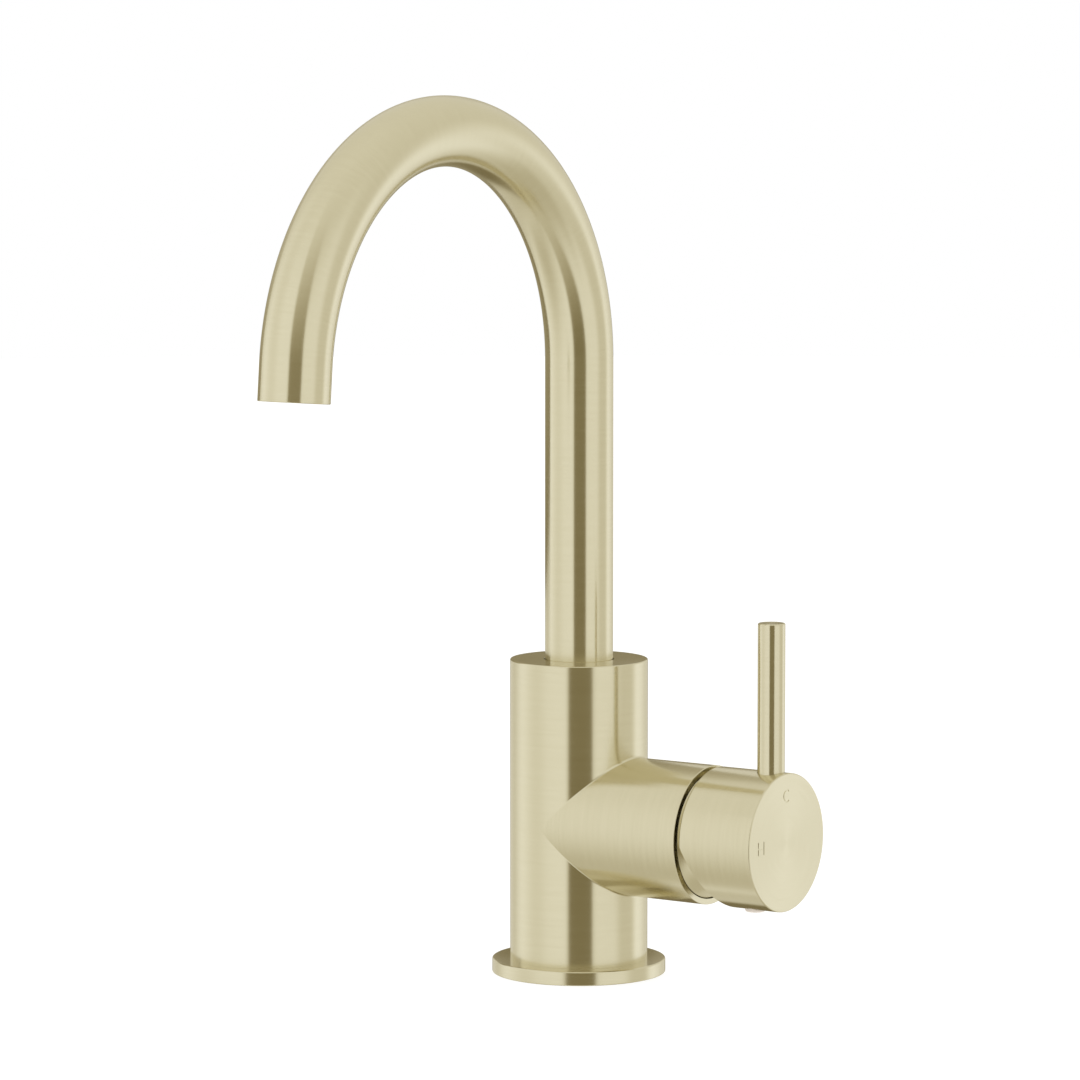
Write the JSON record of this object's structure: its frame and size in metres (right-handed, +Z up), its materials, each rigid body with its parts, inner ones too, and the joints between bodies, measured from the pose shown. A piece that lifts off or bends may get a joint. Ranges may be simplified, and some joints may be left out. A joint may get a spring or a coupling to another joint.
{
  "type": "bathroom mixer faucet",
  "caption": "Single-lever basin mixer with a round body, a side handle with a pin lever and a swivelling swan-neck spout.",
  "frame": {"origin": "centre of the foot's underside, on the deck's plane", "axes": "+Z up along the body and the spout's swivel axis; +X along the cartridge barrel towards the handle; the spout reaches towards -Y at rest"},
  "size_m": [0.1088, 0.1914, 0.2878],
  "materials": {
    "brushed_gold": "champagne gold coating, finely brushed round each cylinder",
    "raw_brass": "turned, uncoated",
    "steel": "stainless, turned",
    "ceramic": "lapped alumina",
    "white_plastic": "moulded",
    "blue_plastic": "moulded",
    "grey_plastic": "moulded",
    "blush_plastic": "satin moulded",
    "rubber": "moulded EPDM"
  },
  "bodies": {
    "mixer_body": {"base_flange": "brushed_gold", "base_seal": "rubber", "main_body": "brushed_gold", "spout_lock_screw": "steel", "spout_thrust_ring": "white_plastic", "cartridge_base": "white_plastic", "port_seal_cold": "rubber", "port_seal_hot": "rubber", "port_seal_outlet": "rubber", "fixed_disc": "ceramic", "cartridge_case": "blue_plastic", "retaining_nut": "raw_brass", "dome_collar": "brushed_gold"},
    "spout": {"spout_tube": "brushed_gold", "spout_nipple": "raw_brass", "spout_seal_lower": "rubber", "spout_seal_upper": "rubber", "spout_glide_ring": "white_plastic", "aerator_housing": "grey_plastic", "aerator_core": "white_plastic", "aerator_seal": "rubber"},
    "cartridge_rotor": {"rotor": "white_plastic", "rotor_seal": "rubber", "pivot_pin": "steel"},
    "handle": {"lever_stem": "raw_brass", "handle_shell": "brushed_gold", "lever_pin": "brushed_gold", "handle_grub_screw": "steel", "handle_plug": "blush_plastic"},
    "disc": {"moving_disc": "ceramic", "disc_carrier": "blue_plastic"}
  },
  "joints": [
    {"name": "spout_swivel", "type": "hinge", "parent": "mixer_body", "child": "spout", "pos_m": [0, 0, 0.09], "axis": [0, 0, 1], "continuous": true},
    {"name": "temperature_turn", "type": "hinge", "parent": "mixer_body", "child": "cartridge_rotor", "pos_m": [0.036, 0, 0.0497], "axis": [1, 0, 0], "range_deg": [0, 90]},
    {"name": "flow_tilt", "type": "hinge", "parent": "cartridge_rotor", "child": "handle", "pos_m": [0.036, 0, 0.0497], "axis": [0, 1, 0], "range_deg": [0, 23]},
    {"name": "disc_slide", "type": "slide", "parent": "cartridge_rotor", "child": "disc", "axis": [0, 0, 1], "range_m": [0, 0.0036]}
  ],
  "couplings": [
    {"joint": "disc_slide", "follows": "flow_tilt", "m_per_rad": 0.0085}
  ]
}
